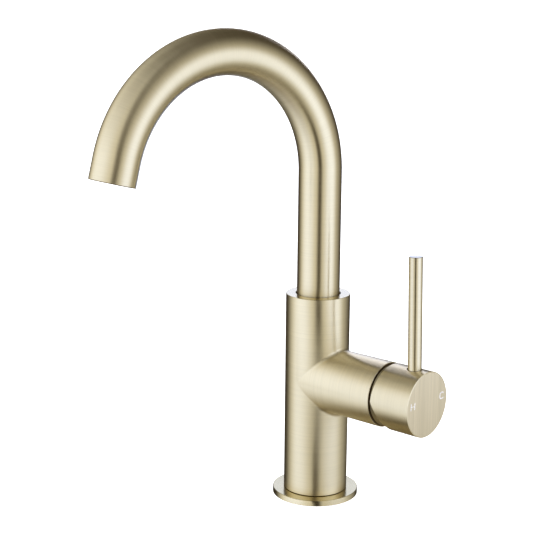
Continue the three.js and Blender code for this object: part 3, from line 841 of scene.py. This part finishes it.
def camera():
    level = math.cos(PITCH)
    ahead = Vector((-math.sin(YAW) * level, math.cos(YAW) * level, -math.sin(PITCH)))
    right = Vector((math.cos(YAW), math.sin(YAW), 0))
    up = right.cross(ahead)
    rolled_right = math.cos(ROLL) * right + math.sin(ROLL) * up
    rolled_up = math.cos(ROLL) * up - math.sin(ROLL) * right
    axes = Matrix((rolled_right, rolled_up, -ahead)).transposed().to_4x4()
    data = bpy.data.cameras.new("camera")
    data.lens = LENS
    data.sensor_width = SENSOR
    data.clip_start = 0.01
    obj = bpy.data.objects.new("camera", data)
    bpy.context.scene.collection.objects.link(obj)
    turn = Matrix.Rotation(TURN, 4, "Z")
    obj.matrix_world = turn @ Matrix.Translation((0, -CAMERA_AWAY, CAMERA_UP)) @ axes
    bpy.context.scene.camera = obj


camera()


# ------------------------------------------------------------------ floor and light

FLOOR_SIZE, FLOOR_Z = 12, -0.0002


def floor():
    """A pale floor that is clear from below, so that views from below see the object."""
    bpy.ops.mesh.primitive_plane_add(size=FLOOR_SIZE, location=(0, 0, FLOOR_Z))
    obj = bpy.context.object
    obj.name = "floor"
    material, nodes, links, shader = node_material("pale_floor")
    shader.inputs["Base Color"].default_value = (0.9, 0.9, 0.9, 1)
    shader.inputs["Roughness"].default_value = 0.9
    shader.inputs["Emission Color"].default_value = (1, 1, 1, 1)
    shader.inputs["Emission Strength"].default_value = 0.85
    clear = add(nodes, "ShaderNodeBsdfTransparent")
    below = add(nodes, "ShaderNodeNewGeometry")
    mix = add(nodes, "ShaderNodeMixShader")
    links.new(below.outputs["Backfacing"], mix.inputs["Fac"])
    links.new(shader.outputs["BSDF"], mix.inputs[1])
    links.new(clear.outputs["BSDF"], mix.inputs[2])
    links.new(mix.outputs["Shader"], nodes["Material Output"].inputs["Surface"])
    obj.data.materials.append(material)
    obj.visible_glossy = False


floor()


def reflector(name, corners, color, strength):
    """A flat card that only shows in the metal."""
    mesh = bpy.data.meshes.new(name)
    mesh.from_pydata(corners, [], [tuple(range(len(corners)))])
    obj = bpy.data.objects.new(name, mesh)
    bpy.context.scene.collection.objects.link(obj)
    material, nodes, links, shader = node_material(name)
    nodes.remove(shader)
    glow = add(nodes, "ShaderNodeEmission", Color=(*color, 1), Strength=strength)
    links.new(glow.outputs["Emission"], nodes["Material Output"].inputs["Surface"])
    mesh.materials.append(material)
    obj.visible_camera = obj.visible_diffuse = False
    obj.visible_shadow = obj.visible_transmission = False


def around_camera(x, y, z):
    """A place counted from the camera's side: x to its right, y away from it."""
    return (x * math.cos(TURN) - y * math.sin(TURN), x * math.sin(TURN) + y * math.cos(TURN), z)


# Two white cards stand behind the object, one above the other: (name, half width, from height,
# to height, color, strength). A dark wedge lies just above the floor in front of it, as painted
# shade that shows only in the metal under the branch and cap: (half width, distance from the
# column's axis).
CARDS_AWAY = 0.33
WEDGE = ((0.02, -0.19), (0.016, -0.09), (0.002, -0.034))
WEDGE_Z = -0.0001
for name, half, low, high, color, strength in (
        ("white_card_low", 0.1, 0.1, 0.255, (0.98, 1.11, 1.62), 1.17),
        ("white_card_high", 0.14, 0.255, 0.42, (1.0, 1.02, 1.25), 1.9)):
    reflector(name, [around_camera(x, CARDS_AWAY, z) for x, z in (
        (-half, low), (half, low), (half, high), (-half, high))], color, strength)

wedge_outline = [*WEDGE, *((-x, y) for x, y in reversed(WEDGE))]
# Painted shade: a dim brown card seen only in the metal, under the branch and cap.
reflector("painted_shade_card_below", [around_camera(x, y, WEDGE_Z) for x, y in wedge_outline],
          (1.0, 0.74, 0.40), 0.04)

# A light tent with large soft panels on its wall, as directions seen from its middle. Azimuths
# are in degrees from the camera's side, positive to its right; elevations are above the middle.
# soft and fade are how far the two azimuth and elevation edges spread to each side. A limit of
# 400 is out of reach, so there is no edge there. DIM is the wall between the panels, and LEAN is
# how much azimuth grows with elevation, which makes the panels' sides slant.
TENT_R, TENT_Z = 0.55, 0.11
GLOW = (1.0, 0.975, 0.89)
CORE = (1.0, 1.26, 2.1)
BROWN = (1.0, 0.78, 0.38)
AMBER = (1.0, 0.82, 0.58)
ALL_ROUND = dict(azimuth=(-400, 400), soft=(1, 1))
PANELS = [
    dict(azimuth=(-115, -9.5), soft=(22, 7), elevation=(-50, 56), fade=(21, 28),
         strength=0.735, color=GLOW),
    dict(azimuth=(-90, -34), soft=(20, 20), elevation=(-36, 31), fade=(24, 20),
         strength=0.44, color=CORE),
    dict(azimuth=(11, 112), soft=(7, 40), elevation=(-43, 50), fade=(27, 31),
         strength=0.74, color=GLOW),
    dict(azimuth=(34, 84), soft=(18, 18), elevation=(-22, 32), fade=(20, 18),
         strength=0.60, color=CORE),
    dict(**ALL_ROUND, elevation=(-400, -52), fade=(1, 30), strength=0.20, color=BROWN),
    dict(**ALL_ROUND, elevation=(-8, 400), fade=(16, 1), strength=0.045, color=AMBER),
]
LEAN = 0.16
DIM = (0.022, 0.018, 0.013)


def tent():
    mesh = bpy.data.meshes.new("light_tent")
    made = bmesh.new()
    bmesh.ops.create_uvsphere(made, u_segments=96, v_segments=48, radius=TENT_R)
    made.to_mesh(mesh)
    made.free()
    obj = bpy.data.objects.new("light_tent", mesh)
    obj.location = (0, 0, TENT_Z)
    bpy.context.scene.collection.objects.link(obj)
    material, nodes, links, shader = node_material("tent_wall")
    nodes.remove(shader)

    def math_node(operation, *values):
        node = add(nodes, "ShaderNodeMath", operation=operation)
        for socket, value in zip(node.inputs, values):
            if isinstance(value, (int, float)):
                socket.default_value = value
            else:
                links.new(value, socket)
        return node.outputs[0]

    def step(source, at, width, rising):
        """A smooth edge at that angle, in degrees, between dark and light."""
        node = add(nodes, "ShaderNodeMapRange", interpolation_type="SMOOTHSTEP")
        node.inputs["From Min"].default_value = math.radians(at - width)
        node.inputs["From Max"].default_value = math.radians(at + width)
        node.inputs["To Min"].default_value = 0 if rising else 1
        node.inputs["To Max"].default_value = 1 if rising else 0
        links.new(source, node.inputs["Value"])
        return node.outputs["Result"]

    direction = add(nodes, "ShaderNodeVectorMath", operation="NORMALIZE")
    links.new(add(nodes, "ShaderNodeTexCoord").outputs["Object"], direction.inputs[0])
    parts = []
    for axis in (around_camera(0, -1, 0), around_camera(1, 0, 0), (0, 0, 1)):
        dot = add(nodes, "ShaderNodeVectorMath", operation="DOT_PRODUCT")
        links.new(direction.outputs["Vector"], dot.inputs[0])
        dot.inputs[1].default_value = axis
        parts.append(dot.outputs["Value"])
    elevation = math_node("ARCSINE", parts[2])
    level_azimuth = math_node("ARCTAN2", parts[1], parts[0])
    azimuth = math_node("MULTIPLY_ADD", elevation, LEAN, level_azimuth)

    total = None
    for panel in PANELS:
        (left, right), (left_width, right_width) = panel["azimuth"], panel["soft"]
        mask = math_node("MULTIPLY", step(azimuth, left, left_width, True),
                         step(azimuth, right, right_width, False))
        for edge, (at, width) in enumerate(zip(panel["elevation"], panel["fade"])):
            mask = math_node("MULTIPLY", mask, step(elevation, at, width, edge == 0))
        color = add(nodes, "ShaderNodeVectorMath", operation="SCALE")
        color.inputs[0].default_value = panel["color"]
        links.new(math_node("MULTIPLY", mask, panel["strength"]), color.inputs["Scale"])
        summed = add(nodes, "ShaderNodeVectorMath", operation="ADD")
        links.new(color.outputs[0], summed.inputs[0])
        if total is None:
            summed.inputs[1].default_value = DIM
        else:
            links.new(total, summed.inputs[1])
        total = summed.outputs[0]

    glow = add(nodes, "ShaderNodeEmission")
    links.new(total, glow.inputs["Color"])
    links.new(glow.outputs["Emission"], nodes["Material Output"].inputs["Surface"])
    mesh.materials.append(material)
    obj.visible_camera = obj.visible_diffuse = obj.visible_shadow = False


def backdrop():
    world = bpy.data.worlds.new("pale_backdrop")
    bpy.context.scene.world = world
    world.use_nodes = True
    background = world.node_tree.nodes["Background"]
    background.inputs["Color"].default_value = (1, 1, 1, 1)
    background.inputs["Strength"].default_value = 1.2


tent()
backdrop()
bpy.context.scene.view_settings.view_transform = "Standard"
bpy.context.scene.view_settings.look = "None"
